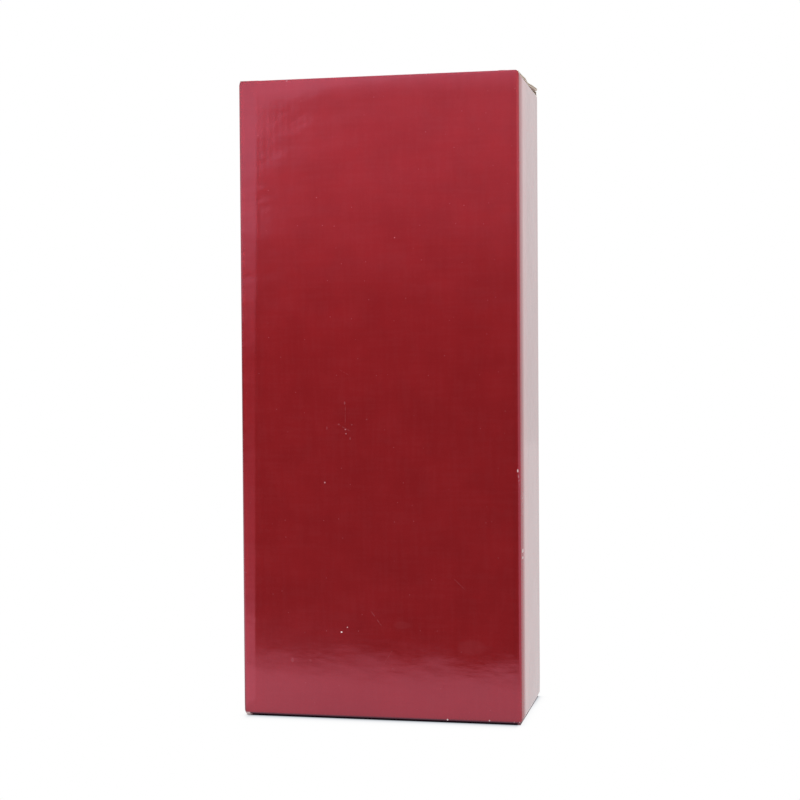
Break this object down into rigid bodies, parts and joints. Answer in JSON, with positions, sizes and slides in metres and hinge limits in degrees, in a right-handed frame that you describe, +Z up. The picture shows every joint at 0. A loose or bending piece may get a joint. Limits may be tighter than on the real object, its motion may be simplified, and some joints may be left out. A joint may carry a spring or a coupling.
{
  "type": "wine bottle box",
  "caption": "Tall folding carton of corrugated board for wine bottles, with a hinged tuck lid, dust flaps, an interlocking bottom and a divider.",
  "frame": {"origin": "on the floor, under the middle of the carton", "axes": "+Z up; -Y is the front, which the lid tucks into; +X is the right side seen from the front"},
  "size_m": [0.155, 0.081, 0.3526],
  "materials": {
    "printed_face": "red print under gloss film, fine linen emboss",
    "fluting_paper": "raw kraft fluting paper, matt",
    "kraft_liner": "raw kraft liner, matt",
    "crushed_board": "raw kraft board, matt"
  },
  "bodies": {
    "sleeve": {"front_panel_face_sheet": "printed_face", "front_panel_fluting": "fluting_paper", "front_panel_liner": "kraft_liner", "back_panel_face_sheet": "printed_face", "back_panel_fluting": "fluting_paper", "back_panel_liner": "kraft_liner", "left_side_panel_face_sheet": "printed_face", "left_side_panel_fluting": "fluting_paper", "left_side_panel_liner": "kraft_liner", "right_side_panel_face_sheet": "printed_face", "right_side_panel_fluting": "fluting_paper", "right_side_panel_liner": "kraft_liner", "bottom_front_flap_face_sheet": "printed_face", "bottom_front_flap_fluting": "fluting_paper", "bottom_front_flap_liner": "kraft_liner", "bottom_back_flap_face_sheet": "printed_face", "bottom_back_flap_fluting": "fluting_paper", "bottom_back_flap_liner": "kraft_liner", "bottom_left_flap_face_sheet": "printed_face", "bottom_left_flap_fluting": "fluting_paper", "bottom_left_flap_liner": "kraft_liner", "bottom_right_flap_face_sheet": "printed_face", "bottom_right_flap_fluting": "fluting_paper", "bottom_right_flap_liner": "kraft_liner", "glue_flap": "crushed_board", "divider_web_outer_liner": "kraft_liner", "divider_web_fluting": "fluting_paper", "divider_web_inner_liner": "kraft_liner", "divider_front_wing_outer_liner": "kraft_liner", "divider_front_wing_fluting": "fluting_paper", "divider_front_wing_inner_liner": "kraft_liner", "divider_back_wing_outer_liner": "kraft_liner", "divider_back_wing_fluting": "fluting_paper", "divider_back_wing_inner_liner": "kraft_liner"},
    "lid": {"lid_face_sheet": "printed_face", "lid_fluting": "fluting_paper", "lid_liner": "kraft_liner"},
    "tuck_flap": {"tuck_flap_face_sheet": "printed_face", "tuck_flap_fluting": "fluting_paper", "tuck_flap_liner": "kraft_liner"},
    "left_dust_flap": {"left_dust_flap_face_sheet": "printed_face", "left_dust_flap_fluting": "fluting_paper", "left_dust_flap_liner": "kraft_liner"},
    "right_dust_flap": {"right_dust_flap_face_sheet": "printed_face", "right_dust_flap_fluting": "fluting_paper", "right_dust_flap_liner": "kraft_liner"}
  },
  "joints": [
    {"name": "lid_hinge", "type": "hinge", "parent": "sleeve", "child": "lid", "pos_m": [0, 0.0405, 0.3526], "axis": [-1, 0, 0], "range_deg": [0, 200]},
    {"name": "tuck_fold", "type": "hinge", "parent": "lid", "child": "tuck_flap", "pos_m": [0, -0.0389, 0.35005], "axis": [-1, 0, 0], "range_deg": [0, 30]},
    {"name": "right_dust_fold", "type": "hinge", "parent": "sleeve", "child": "right_dust_flap", "pos_m": [0.0775, 0, 0.3485], "axis": [0, 1, 0], "range_deg": [0, 100]},
    {"name": "left_dust_fold", "type": "hinge", "parent": "sleeve", "child": "left_dust_flap", "pos_m": [-0.0775, 0, 0.3485], "axis": [0, -1, 0], "range_deg": [0, 100]}
  ],
  "couplings": [
    {"joint": "tuck_fold", "follows": "lid_hinge", "ratio": 0.15},
    {"joint": "right_dust_fold", "follows": "lid_hinge", "ratio": 0.5},
    {"joint": "left_dust_fold", "follows": "lid_hinge", "ratio": 0.5}
  ]
}
